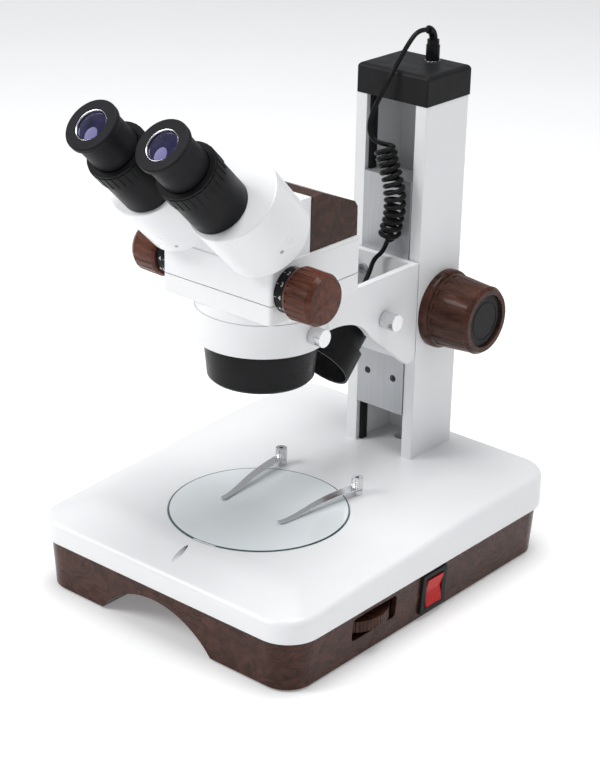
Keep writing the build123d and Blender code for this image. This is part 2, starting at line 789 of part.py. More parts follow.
with BuildPart() as lamp_pivot_pin:
    with BuildSketch(across(-14)):
        with Locations((lamp_pivot_y, lamp_pivot_z)):
            Circle(2.5)
    extrude(amount=-16)
    with BuildSketch(across(-column_half)):
        with Locations((lamp_pivot_y, lamp_pivot_z)):
            Circle(4)
    extrude(amount=-1.5)
lamp_pivot_pin.part.label = "lamp_pivot_pin"
export_step(lamp_pivot_pin.part, "parts/lamp_pivot_pin.step")

# ================= Tilting lamp =================
lamp_cos = math.cos(math.radians(lamp_angle))
lamp_sin = math.sin(math.radians(lamp_angle))


def lamp_plane(along):
    """Plane square to the lamp's axis, a distance up the axis from its mouth."""
    origin = (0, lamp_mouth[1] + along * lamp_cos, lamp_mouth[2] + along * lamp_sin)
    return Plane(origin=origin, x_dir=(1, 0, 0), z_dir=(0, lamp_cos, lamp_sin))


gland_end = 58.0
with BuildPart() as lamp_housing:
    with BuildSketch(lamp_plane(-6)):
        Circle(lamp_sleeve_radius)
    extrude(amount=25)
    with BuildSketch(lamp_plane(12)):
        Circle(lamp_body_radius)
    extrude(amount=38)
    fillet(lamp_housing.edges().filter_by(GeomType.CIRCLE).sort_by(Axis.Z)[-1], radius=12)
    # lug that the clamp screw and the pivot pin run in
    with BuildSketch(across(-24.6)):
        with Locations((lamp_pivot_y, lamp_pivot_z)):
            Circle(7)
    extrude(amount=49.2)
    with BuildSketch(lamp_plane(45)):
        Circle(3.6)
    extrude(amount=gland_end - 45)
    # bore, open at the slanted mouth
    with BuildSketch(lamp_plane(-8)):
        Circle(lamp_body_radius - 1.6)
    extrude(amount=40, mode=Mode.SUBTRACT)
    with BuildSketch(lamp_plane(-8)):
        Circle(lamp_sleeve_radius - 1.6)
    extrude(amount=20, mode=Mode.SUBTRACT)
    # the mouth is cut back at the top, 9 degrees off square
    cut = math.radians(lamp_angle - 9)
    mouth = Plane(origin=lamp_mouth, x_dir=(1, 0, 0), z_dir=(0, -math.cos(cut), -math.sin(cut)))
    with BuildSketch(mouth):
        Rectangle(60, 70)
    extrude(amount=20, mode=Mode.SUBTRACT)
    for side in (1, -1):
        with BuildSketch(across(side * 25)):
            with Locations((lamp_pivot_y, lamp_pivot_z)):
                Circle(2.55)
        extrude(amount=-side * 12, mode=Mode.SUBTRACT)
    with BuildSketch(lamp_plane(gland_end)):
        Circle(wire_radius)
    extrude(amount=-4, mode=Mode.SUBTRACT)
lamp_housing.part.label = "lamp_housing"
export_step(lamp_housing.part, "parts/lamp_housing.step")

with BuildPart() as lamp_reflector:
    with BuildSketch(Plane(origin=lamp_mouth, x_dir=(1, 0, 0), z_dir=(0, -lamp_sin, lamp_cos))):
        with BuildLine():
            Polyline((5, 29), (10, 28.6), (17.3, 15), (17.3, 12), (19.9, 12), (19.9, 10.8), (16.4, 10.8),
                     (9.2, 27.2), (5, 27.6), close=True)
        make_face()
    revolve(axis=Axis(lamp_mouth, (0, lamp_cos, lamp_sin)))
lamp_reflector.part.label = "lamp_reflector"
export_step(lamp_reflector.part, "parts/lamp_reflector.step")

with BuildPart() as lamp_bulb:
    with BuildSketch(lamp_plane(31.9)):
        Circle(4.8)
    extrude(amount=-12)
    with BuildSketch(lamp_plane(20)):
        Circle(4)
    extrude(amount=-12)
    fillet(lamp_bulb.edges().filter_by(GeomType.CIRCLE).sort_by(Axis.Z)[0], radius=3.8)
lamp_bulb.part.label = "lamp_bulb"
export_step(lamp_bulb.part, "parts/lamp_bulb.step")

# ================= Head =================
head_mid_y = (head_front + head_back) / 2
head_depth = head_back - head_front
inner_half = head_half - head_wall
inner_depth = head_depth - 2 * head_wall

with BuildPart() as head_lower_body:
    with BuildSketch(Plane.XY.offset(ring_top + 0.15)):
        with Locations((0, stage_y)):
            Circle(ring_radius - 0.4)
    extrude(amount=head_bottom - ring_top + 1)
    with BuildSketch(Plane.XY.offset(head_bottom)):
        with Locations((0, head_mid_y)):
            RectangleRounded(2 * head_half, head_depth, 2.5)
    extrude(amount=head_seam - 0.3 - head_bottom)
    with BuildSketch(Plane.XY.offset(head_bottom + 3)):
        with Locations((0, head_mid_y)):
            Rectangle(2 * inner_half - 4, inner_depth - 4)
    extrude(amount=20, mode=Mode.SUBTRACT)
    # tongue that the upper shell drops over
    with BuildSketch(Plane.XY.offset(head_seam - 1)):
        with Locations((0, head_mid_y)):
            Rectangle(2 * inner_half - 0.1, inner_depth - 0.1)
            Rectangle(2 * inner_half - 4, inner_depth - 4, mode=Mode.SUBTRACT)
    extrude(amount=2.6)
    # spigot that turns in the arm's ring
    with BuildSketch(Plane.XY.offset(ring_bottom - 0.3)):
        with Locations((0, stage_y)):
            Circle(head_bore - 0.08)
    extrude(amount=ring_top - ring_bottom + 1)
    with BuildSketch(Plane.XY.offset(ring_bottom - 1)):
        with Locations((0, stage_y)):
            Circle(33)
    extrude(amount=40, mode=Mode.SUBTRACT)
head_lower_body.part.label = "head_lower_body"
export_step(head_lower_body.part, "parts/head_lower_body.step")

with BuildPart() as head_upper_body:
    with BuildSketch(Plane.XY.offset(head_seam + 0.3)):
        with Locations((0, head_mid_y)):
            RectangleRounded(2 * head_half, head_depth, 2.5)
            Rectangle(2 * inner_half, inner_depth, mode=Mode.SUBTRACT)
    extrude(amount=head_top - head_seam - 0.3)
    with BuildSketch(across(-50)):
        with Locations((zoom_y, zoom_z)):
            Circle(3.05)
    extrude(amount=100, mode=Mode.SUBTRACT)
head_upper_body.part.label = "head_upper_body"
export_step(head_upper_body.part, "parts/head_upper_body.step")

drum_base_y = drum_y + (drum_length + 0.2) * math.sqrt(0.5)
drum_base_z = drum_z - (drum_length + 0.2) * math.sqrt(0.5)
wedge = drum_base_z - drum_base_y
block_floor = head_top + 2.8
block_top = 300.0
wedge_back = -49.5


def drum_plane(side, along=0.0):
    """Plane square to one drum's axis, a distance out from its front face."""
    reach = along * math.sqrt(0.5)
    origin = (side * drum_x, drum_y - reach, drum_z + reach)
    return Plane(origin=origin, x_dir=(1, 0, 0), z_dir=(0, -1, 1))


with BuildPart() as binocular_block:
    with BuildSketch(Plane.XY.offset(head_top)):
        with Locations((0, head_mid_y)):
            RectangleRounded(2 * head_half - 0.8, head_depth - 0.8, 2.5)
    extrude(amount=block_floor - head_top)
    with BuildSketch(across(-44.5)):
        with BuildLine():
            Polyline(
                (block_floor - 0.5 - wedge, block_floor - 0.5),
                (block_top - wedge, block_top),
                (wedge_back, block_top),
                (wedge_back, block_floor - 0.5),
                close=True,
            )
        make_face()
    extrude(amount=89)
    front_trim = head_front + 0.4
    with BuildSketch(across(-50)):
        with Locations((front_trim - 20, 275)):
            Rectangle(40, 40)
    extrude(amount=100, mode=Mode.SUBTRACT)
    # light paths: a hollow below and a port to each drum
    with BuildSketch(across(-40)):
        with BuildLine():
            Polyline(
                (block_floor - wedge + 11, head_top - 1),
                (block_floor - wedge + 11, head_top + 6),
                (block_top - 4 - wedge + 8, block_top - 4),
                (wedge_back - 2.5, block_top - 4),
                (wedge_back - 2.5, head_top - 1),
                close=True,
            )
        make_face()
    extrude(amount=80, mode=Mode.SUBTRACT)
    for side in (1, -1):
        with BuildSketch(drum_plane(side, -drum_length - 12)):
            with Locations((-side * 8, 3)):
                Circle(13.1)
        extrude(amount=14, mode=Mode.SUBTRACT)
binocular_block.part.label = "binocular_block"
export_step(binocular_block.part, "parts/binocular_block.step")

with BuildPart() as rear_cover:
    with BuildSketch(across(-45)):
        with BuildLine():
            Polyline(
                (wedge_back + 0.05, block_floor + 0.1),
                (wedge_back + 0.05, 299),
                (-37, 299.5),
                (-6.3, 287),
                (-3.3, 283),
                (-3.2, block_floor + 0.1),
                close=True,
            )
        make_face()
    extrude(amount=90)
    fillet(rear_cover.edges().filter_by(Axis.X).sort_by(Axis.Z)[-4:-1], radius=2.5)
    flanks = rear_cover.faces().sort_by(Axis.X)
    fillet(flanks[0].edges().sort_by(Axis.Z)[2:], radius=1.2)
    with BuildSketch(across(-42.5)):
        with BuildLine():
            Polyline((wedge_back, 262), (wedge_back, 296), (-37.5, 296.5), (-8, 284.5), (-5.8, 281.5),
                     (-5.8, 262), close=True)
        make_face()
    extrude(amount=85, mode=Mode.SUBTRACT)
rear_cover.part.label = "rear_cover"
export_step(rear_cover.part, "parts/rear_cover.step")

with BuildPart() as nosepiece:
    with BuildSketch(Plane.XZ.offset(-stage_y)):
        with BuildLine():
            Polyline((24, 165.5), (34.2, 165.5), (35.8, 167.2), (38, 189), (38, 194), (33.5, 194), (33.5, 185),
                     (24, 181), close=True)
        make_face()
    revolve(axis=stage_axis)
nosepiece.part.label = "nosepiece"
export_step(nosepiece.part, "parts/nosepiece.step")

with BuildPart() as objective_lens:
    with BuildSketch(Plane.XZ.offset(-stage_y)):
        with BuildLine():
            ThreePointArc((0, 183.5), (16, 184.8), (31, 186.2))
            Polyline((31, 186.2), (33.2, 186.2), (33.2, 190), (0, 190), (0, 183.5))
        make_face()
    revolve(axis=stage_axis)
objective_lens.part.label = "objective_lens"
export_step(objective_lens.part, "parts/objective_lens.step")

# ================= Zoom drive =================
with BuildPart() as zoom_shaft:
    with BuildSketch(across(-72)):
        with Locations((zoom_y, zoom_z)):
            Circle(3)
    extrude(amount=144)
    with BuildSketch(across(-6)):
        with Locations((zoom_y, zoom_z)):
            Circle(5)
    extrude(amount=12)
zoom_shaft.part.label = "zoom_shaft"
export_step(zoom_shaft.part, "parts/zoom_shaft.step")

zoom_axis = Axis((0, zoom_y, zoom_z), (1, 0, 0))
with BuildPart() as zoom_dials:
    for side in (1, -1):
        with BuildSketch(across(side * (head_half + 0.3))):
            with Locations((zoom_y, zoom_z)):
                Circle(15)
                Circle(3, mode=Mode.SUBTRACT)
        extrude(amount=side * 8)
zoom_dials.part.label = "zoom_dials"
export_step(zoom_dials.part, "parts/zoom_dials.step")

with BuildPart() as zoom_knobs:
    for side in (1, -1):
        with BuildSketch(Plane.XY.offset(zoom_z)):
            with BuildLine():
                Polyline(
                    (side * 54.8, zoom_y + 3),
                    (side * 54.8, zoom_y + 16.6),
                    (side * 57, zoom_y + 17.6),
                    (side * 73.5, zoom_y + 17.2),
                    (side * 76.6, zoom_y + 15.2),
                    (side * 77.2, zoom_y),
                    (side * 72, zoom_y),
                    (side * 72, zoom_y + 3),
                    close=True,
                )
            make_face()
        revolve(axis=zoom_axis)
    for side in (1, -1):
        with BuildSketch(across(side * 57.5)):
            with Locations((zoom_y, zoom_z)):
                with PolarLocations(18, 22):
                    Circle(1.1)
        extrude(amount=side * 15.5, mode=Mode.SUBTRACT)
zoom_knobs.part.label = "zoom_knobs"
export_step(zoom_knobs.part, "parts/zoom_knobs.step")

with BuildPart() as zoom_carrier:
    with BuildSketch(Plane.XY.offset(238.5)):
        with Locations((0, -38)):
            RectangleRounded(64, 30, 4)
        with Locations((0, -55)):
            Rectangle(10, 16)
        with Locations((13, -38), (-13, -38)):
            Circle(9, mode=Mode.SUBTRACT)
    extrude(amount=4)
    with BuildSketch(Plane.XY.offset(232.5)):
        with Locations((13, -38), (-13, -38)):
            Circle(10)
            Circle(9, mode=Mode.SUBTRACT)
    extrude(amount=16)
    with BuildSketch(Plane.XY.offset(239)):
        with Locations((13, -38), (-13, -38)):
            Circle(9)
    extrude(amount=3)
    with BuildSketch(Plane.XY.offset(230.5)):
        with Locations((0, -64.7)):
            Rectangle(8, 3)
    extrude(amount=26)
    with BuildSketch(Plane.XY.offset(238.5)):
        with Locations((0, -63)):
            Rectangle(8, 4)
    extrude(amount=4)
zoom_carrier.part.label = "zoom_carrier"
export_step(zoom_carrier.part, "parts/zoom_carrier.step")

# ================= Binocular =================
screw_spots = {"right": (27.9, -11.8, -33.3), "left": (13.2, -27.3, -39.8)}
for side_name, side in sides.items():
    offset_x = -side * eye_offset_x
    offset_m = -eye_offset_m
    with BuildPart() as prism_housing:
        with BuildSketch(drum_plane(side, -drum_length)):
            Circle(drum_radius - 0.8)
        with BuildSketch(drum_plane(side, -2)):
            Circle(drum_radius)
        loft()
        with BuildSketch(drum_plane(side, -2)):
            Circle(drum_radius)
        extrude(amount=2)
        fillet(prism_housing.edges().filter_by(GeomType.CIRCLE).sort_by(Axis.Y)[0], radius=0.8)
        with BuildSketch(drum_plane(side, -4)):
            Circle(drum_radius - 3.5)
        extrude(amount=-(drum_length - 8), mode=Mode.SUBTRACT)
        with BuildSketch(drum_plane(side, 0)):
            with Locations((offset_x, offset_m)):
                Circle(15)
        extrude(amount=-4, mode=Mode.SUBTRACT)
        with BuildSketch(drum_plane(side, -drum_length - 1)):
            Circle(9)
        extrude(amount=6, mode=Mode.SUBTRACT)
        spot_x, spot_m, spot_n = screw_spots[side_name]
        reach = math.hypot(spot_x, spot_m)
        spot_plane = drum_plane(side, spot_n)
        spot_out = spot_plane.x_dir * (spot_x / reach) + spot_plane.y_dir * (spot_m / reach)
        spot_origin = spot_plane.origin + spot_out * (drum_radius + 1)
        with BuildSketch(Plane(origin=spot_origin, z_dir=spot_out)):
            Circle(1.3)
        extrude(amount=-3.2, mode=Mode.SUBTRACT)
    prism_housing.part.label = f"prism_housing_{side_name}"
    export_step(prism_housing.part, f"parts/prism_housing_{side_name}.step")

    with BuildPart() as prism:
        with BuildSketch(drum_plane(side, -drum_length + 4)):
            RectangleRounded(30, 34, 1)
        extrude(amount=24)
        with BuildSketch(drum_plane(side, -drum_length + 28)):
            with Locations((offset_x, offset_m)):
                Rectangle(20, 20)
        extrude(amount=10)
    prism.part.label = f"prism_{side_name}"
    export_step(prism.part, f"parts/prism_{side_name}.step")

    with BuildPart() as eye_tube:
        with BuildSketch(drum_plane(side)):
            with Locations((offset_x, offset_m)):
                Circle(eye_tube_radius)
        extrude(amount=29)
        lower_rim = eye_tube.edges().filter_by(GeomType.CIRCLE).sort_by(Axis.Y)[-1]
        fillet(lower_rim, radius=1)
        with BuildSketch(drum_plane(side, 28)):
            with Locations((offset_x, offset_m)):
                Circle(18)
        extrude(amount=12)
        with BuildSketch(drum_plane(side, -1)):
            with Locations((offset_x, offset_m)):
                Circle(15.2)
        extrude(amount=42, mode=Mode.SUBTRACT)
    eye_tube.part.label = f"eye_tube_{side_name}"
    export_step(eye_tube.part, f"parts/eye_tube_{side_name}.step")

    with BuildPart() as diopter_ring:
        with BuildSketch(drum_plane(side, 29.3)):
            with Locations((offset_x, offset_m)):
                Circle(20.6)
                Circle(18.08, mode=Mode.SUBTRACT)
                with PolarLocations(20.9, 28):
                    Rectangle(1.4, 1.5, mode=Mode.SUBTRACT)
        extrude(amount=10.9)
        with BuildSketch(drum_plane(side, 40.2)):
            with Locations((offset_x, offset_m)):
                Circle(20)
                Circle(16.3, mode=Mode.SUBTRACT)
        extrude(amount=1.8)
    diopter_ring.part.label = f"diopter_ring_{side_name}"
    export_step(diopter_ring.part, f"parts/diopter_ring_{side_name}.step")

    with BuildPart() as eyepiece:
        with BuildSketch(drum_plane(side, 12)):
            with Locations((offset_x, offset_m)):
                Circle(15.1)
        extrude(amount=32)
        with BuildSketch(drum_plane(side, 42.6)):
            with Locations((offset_x, offset_m)):
                Circle(16)
        extrude(amount=23.4)
        with BuildSketch(drum_plane(side, 65)):
            with Locations((offset_x, offset_m)):
                Circle(18)
        extrude(amount=5)
        collar_edges = eyepiece.edges().filter_by(GeomType.CIRCLE)
        fillet([edge for edge in collar_edges if edge.radius > 17.5], radius=1.4)
        with BuildSketch(drum_plane(side, 70)):
            with Locations((offset_x, offset_m)):
                Circle(11)
        extrude(amount=-2.5, mode=Mode.SUBTRACT)
        with BuildSketch(drum_plane(side, 10)):
            with Locations((offset_x, offset_m)):
                Circle(12.5)
        extrude(amount=40, mode=Mode.SUBTRACT)
    eyepiece.part.label = f"eyepiece_{side_name}"
    export_step(eyepiece.part, f"parts/eyepiece_{side_name}.step")

# ================= Lamp cord =================
relief_radius = 8.0
relief_turn = math.radians(75)
relief_start = (plug_x, plug_y, 362.0)
relief_mid = (plug_x, plug_y - relief_radius * (1 - math.cos(relief_turn / 2)),
              362.0 + relief_radius * math.sin(relief_turn / 2))
relief_end = (plug_x, plug_y - relief_radius * (1 - math.cos(relief_turn)),
              362.0 + relief_radius * math.sin(relief_turn))
relief_dir = (0, -math.sin(relief_turn), math.cos(relief_turn))

with BuildPart() as cord_plug:
    with BuildSketch(Plane.XY.offset(cap_top + 0.7)):
        with Locations((plug_x, plug_y)):
            Circle(4.8)
    extrude(amount=10.3)
    with BuildSketch(Plane.XY.offset(cap_top + 11)):
        with Locations((plug_x, plug_y)):
            Circle(4.2)
    extrude(amount=362 - cap_top - 11)
    with BuildLine():
        ThreePointArc(relief_start, relief_mid, relief_end)
    with BuildSketch(Plane(origin=relief_start, z_dir=(0, 0, 1))):
        Circle(2.9)
    sweep()
    with BuildSketch(Plane.XY.offset(cap_top + 1)):
        with Locations((plug_x, plug_y)):
            Circle(2.7)
    extrude(amount=-8)
cord_plug.part.label = "cord_plug"
export_step(cord_plug.part, "parts/cord_plug.step")

upper_route = [
    relief_end,
    (plug_x, relief_end[1] + 12 * relief_dir[1], relief_end[2] + 12 * relief_dir[2]),
    (4.4, 94.0, 361.0),
    (4.0, 80.0, 346.0),
    (-2.7, 76.0, 328.2),
    (-10.0, 75.5, 312.5),
    (-11.2, 76.0, 302.0),
    (-3.5, 76.0, 296.5),
]
coil_route = [
    (0.5, 76.0, 306.0),
    (6.0, 76.0, 288.0),
    (14.0, 76.0, 269.0),
    (14.6, 76.0, 248.0),
    (9.0, 76.0, 230.0),
]
gland_y = lamp_mouth[1] + gland_end * lamp_cos
gland_z = lamp_mouth[2] + gland_end * lamp_sin
lower_route = [
    (9.0, 76.0, 230.0),
    (6.4, 76.0, 221.643),
    (-1.0, 74.5, 214.5),
    (-1.0, 70.0, 205.5),
    (0.0, gland_y + 8.4 * lamp_cos, gland_z + 8.4 * lamp_sin),
    (0.0, gland_y, gland_z),
]

cord_runs = {
    "cord_upper_lead": (upper_route, wire_radius),
    "curly_cord": (coil_route, coil_radius),
    "cord_lower_lead": (lower_route, wire_radius),
}
for cord_name, (route, radius) in cord_runs.items():
    radii = arc_radii(route)
    print(cord_name, "arc radii", [round(value, 1) for value in radii])
    with BuildPart() as cord:
        with BuildLine() as path:
            FilletPolyline(*route, radius=radii)
        run = path.wires()[0]
        with BuildSketch(Plane(origin=run @ 0, z_dir=run % 0)):
            Circle(radius)
        sweep(path=run)
    true_volume = math.pi * radius**2 * run.length
    print(cord_name, "volume", round(cord.part.volume), "section times length", round(true_volume))
    cord.part.label = cord_name
    export_step(cord.part, f"parts/{cord_name}.step")
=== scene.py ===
import bmesh
import bpy
import math
from mathutils import Matrix, Vector


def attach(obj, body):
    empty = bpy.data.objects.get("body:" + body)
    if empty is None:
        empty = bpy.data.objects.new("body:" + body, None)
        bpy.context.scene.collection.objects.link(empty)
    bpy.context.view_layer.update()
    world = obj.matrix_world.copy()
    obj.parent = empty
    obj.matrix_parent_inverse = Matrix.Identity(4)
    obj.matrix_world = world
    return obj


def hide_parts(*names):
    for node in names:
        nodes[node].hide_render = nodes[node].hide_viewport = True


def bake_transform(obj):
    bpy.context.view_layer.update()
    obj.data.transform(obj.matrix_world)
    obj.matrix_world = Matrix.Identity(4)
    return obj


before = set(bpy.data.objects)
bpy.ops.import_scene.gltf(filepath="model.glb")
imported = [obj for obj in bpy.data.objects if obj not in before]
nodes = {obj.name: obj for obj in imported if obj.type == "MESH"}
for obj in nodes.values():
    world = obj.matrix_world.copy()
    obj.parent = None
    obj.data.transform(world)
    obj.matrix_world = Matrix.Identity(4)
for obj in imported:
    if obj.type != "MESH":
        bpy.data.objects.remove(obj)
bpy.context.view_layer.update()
collection = bpy.context.scene.collection

# ---------------------------------------------------------------- camera
camera_spot = (0.808, -0.964, 0.6964)
azimuth, elevation, roll = math.radians(40.075), math.radians(23.834), math.radians(1.208)
right = Vector((math.cos(azimuth), math.sin(azimuth), 0))
up = Vector((-math.sin(azimuth) * math.sin(elevation), math.cos(azimuth) * math.sin(elevation),
             math.cos(elevation)))
back = Vector((math.sin(azimuth) * math.cos(elevation), -math.cos(azimuth) * math.cos(elevation),
               math.sin(elevation)))
turned_right = right * math.cos(roll) + up * math.sin(roll)
turned_up = up * math.cos(roll) - right * math.sin(roll)
camera = bpy.data.objects.new("camera", bpy.data.cameras.new("camera"))
collection.objects.link(camera)
camera.data.lens = 93.28
camera.data.sensor_width = 36
axes = Matrix((turned_right, turned_up, back)).transposed().to_4x4()
camera.matrix_world = Matrix.Translation(camera_spot) @ axes
bpy.context.scene.camera = camera


# ---------------------------------------------------------------- cords
wire_radius = 0.00165


def new_object(name, data):
    obj = bpy.data.objects.new(name, data)
    collection.objects.link(obj)
    return obj


def nurbs_curve(name, points):
    """A curve whose one spline is a smooth NURBS with these control points."""
    data = bpy.data.curves.new(name, "CURVE")
    data.dimensions = "3D"
    data.resolution_u = 10
    spline = data.splines.new("NURBS")
    spline.points.add(len(points) - 1)
    for slot, point in zip(spline.points, points):
        slot.co = (*point, 1)
    spline.order_u = 3
    spline.use_endpoint_u = True
    return data


def read_line(data):
    """Points along a curve's own line."""
    bare = new_object("line_reader", data)
    mesh = bpy.data.meshes.new_from_object(bare)
    points = [vertex.co.copy() for vertex in mesh.vertices]
    bpy.data.objects.remove(bare)
    bpy.data.meshes.remove(mesh)
    return points


def even_points(points, step):
    """The same line with points a step apart."""
    result = [points[0].copy()]
    spare = 0.0
    for here, after in zip(points, points[1:]):
        span = (after - here).length
        along = step - spare
        while along <= span:
            result.append(here.lerp(after, along / span))
            along += step
        spare = span - (along - step)
    return result


def turning_frames(points, first_side):
    """A pair of cross directions at each point that doesn't twist along the line."""
    frames = []
    side = Vector(first_side)
    for index in range(len(points)):
        before = points[max(index - 1, 0)]
        after = points[min(index + 1, len(points) - 1)]
        run = (after - before).normalized()
        side = (side - run * side.dot(run)).normalized()
        frames.append((side.copy(), run.cross(side)))
    return frames


def tube(name, points, radius, segments=12):
    """A smooth mesh tube along the points, closed at both ends."""
    frames = turning_frames(points, (1, 0, 0.1))
    mesh = bmesh.new()
    rings = []
    for point, (side, other) in zip(points, frames):
        ring = []
        for index in range(segments):
            angle = 2 * math.pi * index / segments
            ring.append(mesh.verts.new(point + (side * math.cos(angle) + other * math.sin(angle)) * radius))
        rings.append(ring)
    for lower, upper in zip(rings, rings[1:]):
        for index in range(segments):
            nearby = (index + 1) % segments
            mesh.faces.new((lower[index], lower[nearby], upper[nearby], upper[index]))
    mesh.faces.new(list(reversed(rings[0])))
    mesh.faces.new(rings[-1])
    for face in mesh.faces:
        face.smooth = True
    data = bpy.data.meshes.new(name)
    mesh.to_mesh(data)
    mesh.free()
    return new_object(name, data)


upper_route = [
    (0.005, 0.118071, 0.369727),
    (0.005, 0.106479, 0.372833),
    (0.0044, 0.094, 0.361),
    (0.004, 0.080, 0.346),
    (-0.0027, 0.076, 0.3282),
    (-0.010, 0.0755, 0.3125),
    (-0.0112, 0.076, 0.302),
    (-0.0035, 0.076, 0.2965),
]
coil_route = [
    (0.0005, 0.076, 0.306),
    (0.006, 0.076, 0.288),
    (0.014, 0.076, 0.269),
    (0.0146, 0.076, 0.248),
    (0.009, 0.076, 0.230),
]
lower_route = [
    (0.009, 0.076, 0.230),
    (0.0064, 0.076, 0.221643),
    (-0.001, 0.0745, 0.2145),
    (-0.001, 0.070, 0.2055),
    (0.0, 0.06394, 0.20025),
    (0.0, 0.058117, 0.194192),
]

# the coil: a helix round its own run, which the upper lead meets a little way down
fine_step = 0.0002
lead_step = 0.0012
cord_step = 0.0007
coil_turns = 13.5
coil_entry = 55
coil_radius = 0.00635
coil_line = even_points(read_line(nurbs_curve("coil_run", coil_route)), fine_step)
coil_frames = turning_frames(coil_line, (-1, 0, 0))
helix = []
for index in range(coil_entry, len(coil_line)):
    point, (side, other) = coil_line[index], coil_frames[index]
    share = (index - coil_entry) / (len(coil_line) - 1 - coil_entry)
    # looser turns at the top, turns of slightly uneven width, and a last one that closes on the run
    angle = math.pi / 2 + 2 * math.pi * coil_turns * share ** 0.92
    reach = coil_radius * (1 + 0.05 * math.sin(9 * share + 1) * math.sin(23 * share))
    fade = min(1, (1 - share) * coil_turns * 1.3)
    helix.append(point + (side * math.cos(angle) + other * math.sin(angle)) * reach * fade)

upper_line = even_points(read_line(nurbs_curve("upper_run", upper_route)), lead_step)
lower_line = even_points(read_line(nurbs_curve("lower_run", lower_route)), lead_step)
joined = [tuple(point) for point in upper_line[::6]]
joined += [tuple(point) for point in helix[2:-2:2]]
joined += [coil_route[-1]]
whole_line = even_points(read_line(nurbs_curve("cord_run", joined)), cord_step)
lamp_cord = tube("lamp_cord", whole_line, wire_radius, 10)
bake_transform(lamp_cord)
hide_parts("cord_upper_lead", "curly_cord")
lamp_lead = tube("lamp_lead", lower_line + [Vector(lower_route[-1])], wire_radius, 12)
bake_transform(lamp_lead)
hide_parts("cord_lower_lead")


# ---------------------------------------------------------------- materials
def add(tree, kind, inputs=None, **settings):
    """A shader node with its settings, and its inputs set or linked."""
    node = tree.nodes.new(kind)
    for key, value in settings.items():
        setattr(node, key, value)
    for key, value in (inputs or {}).items():
        if isinstance(value, bpy.types.NodeSocket):
            tree.links.new(value, node.inputs[key])
        else:
            node.inputs[key].default_value = value
    return node


def surface(name, **values):
    """A new material with its principled shader's own sockets set."""
    material = bpy.data.materials.new(name)
    material.use_nodes = True
    shader = material.node_tree.nodes["Principled BSDF"]
    for key, value in values.items():
        socket = shader.inputs[key.replace("_", " ")]
        socket.default_value = value
    return material, material.node_tree, shader


def place(tree, scale=(1, 1, 1)):
    """Object coordinates in metres, stretched by scale."""
    here = add(tree, "ShaderNodeTexCoord")
    return add(tree, "ShaderNodeMapping", {"Vector": here.outputs["Object"], "Scale": scale}).outputs[0]


def noise(tree, vector, scale, detail=3.0, roughness=0.5, distortion=0.0):
    """A cloudy value about 0.5."""
    made = add(tree, "ShaderNodeTexNoise", {"Vector": vector, "Scale": scale, "Detail": detail,
                                            "Roughness": roughness, "Distortion": distortion})
    return made.outputs["Fac"]


def ramp(tree, factor, stops):
    """A colour ramp whose stops are (position, colour), in rising order."""
    made = add(tree, "ShaderNodeValToRGB", {"Fac": factor})
    for index, (position, color) in enumerate(stops):
        element = made.color_ramp.elements[index] if index < 2 else made.color_ramp.elements.new(position)
        element.position = position
        element.color = (*color, 1)
    return made.outputs["Color"]


def remap(tree, factor, low, high):
    """A noise value spread over low to high."""
    made = add(tree, "ShaderNodeMapRange", {"Value": factor, "From Min": 0.3, "From Max": 0.7,
                                            "To Min": low, "To Max": high})
    return made.outputs["Result"]


def relief(tree, shader, height, distance, strength=1.0, edge=0.0):
    """Bump from a height, on edges that a bevel softens."""
    inputs = {"Height": height, "Distance": distance, "Strength": strength}
    if edge:
        inputs["Normal"] = add(tree, "ShaderNodeBevel", {"Radius": edge}, samples=4).outputs["Normal"]
    bump = add(tree, "ShaderNodeBump", inputs)
    tree.links.new(bump.outputs["Normal"], shader.inputs["Normal"])


def enamel(name, light, dark, rough, edge):
    """Stove enamel: a faint orange peel and slightly uneven gloss."""
    material, tree, shader = surface(name, Coat_Weight=0.15, Coat_Roughness=0.2)
    spot = place(tree)
    cloudy = noise(tree, spot, 14, 4)
    tree.links.new(ramp(tree, cloudy, [(0.3, dark), (0.7, light)]), shader.inputs["Base Color"])
    tree.links.new(remap(tree, noise(tree, spot, 60, 3), rough - 0.05, rough + 0.06),
                   shader.inputs["Roughness"])
    relief(tree, shader, noise(tree, spot, 700, 2), 0.00006, 0.35, edge)
    return material


def burl(name, stretch, tint, rough, edge):
    """Glossy brown plastic printed with a burr-wood figure."""
    material, tree, shader = surface(name, Specular_IOR_Level=0.12, Coat_Weight=0.14, Coat_Roughness=0.07)
    spot = place(tree, stretch)
    swirl = noise(tree, spot, 46, 7, 0.62, 2.6)
    knots = add(tree, "ShaderNodeTexVoronoi", {"Vector": spot, "Scale": 95.0, "Randomness": 1.0})
    mixed = add(tree, "ShaderNodeMath", {0: knots.outputs["Distance"], 1: 0.22, 2: swirl},
                operation="MULTIPLY_ADD")
    figure = ramp(tree, mixed.outputs[0], [
        (0.38, tuple(0.35 * value for value in tint)),
        (0.50, tuple(0.7 * value for value in tint)),
        (0.66, tint),
        (0.84, tuple(1.6 * value for value in tint)),
    ])
    fine = noise(tree, spot, 420, 3, 0.6, 0.5)
    worn = add(tree, "ShaderNodeMix", {"Factor": remap(tree, fine, 0.0, 0.45)}, data_type="RGBA",
               blend_type="MULTIPLY")
    tree.links.new(figure, worn.inputs["A"])
    worn.inputs["B"].default_value = (0.45, 0.36, 0.32, 1)
    tree.links.new(worn.outputs["Result"], shader.inputs["Base Color"])
    tree.links.new(remap(tree, swirl, rough, rough + 0.12), shader.inputs["Roughness"])
    relief(tree, shader, fine, 0.00003, 0.3, edge)
    return material


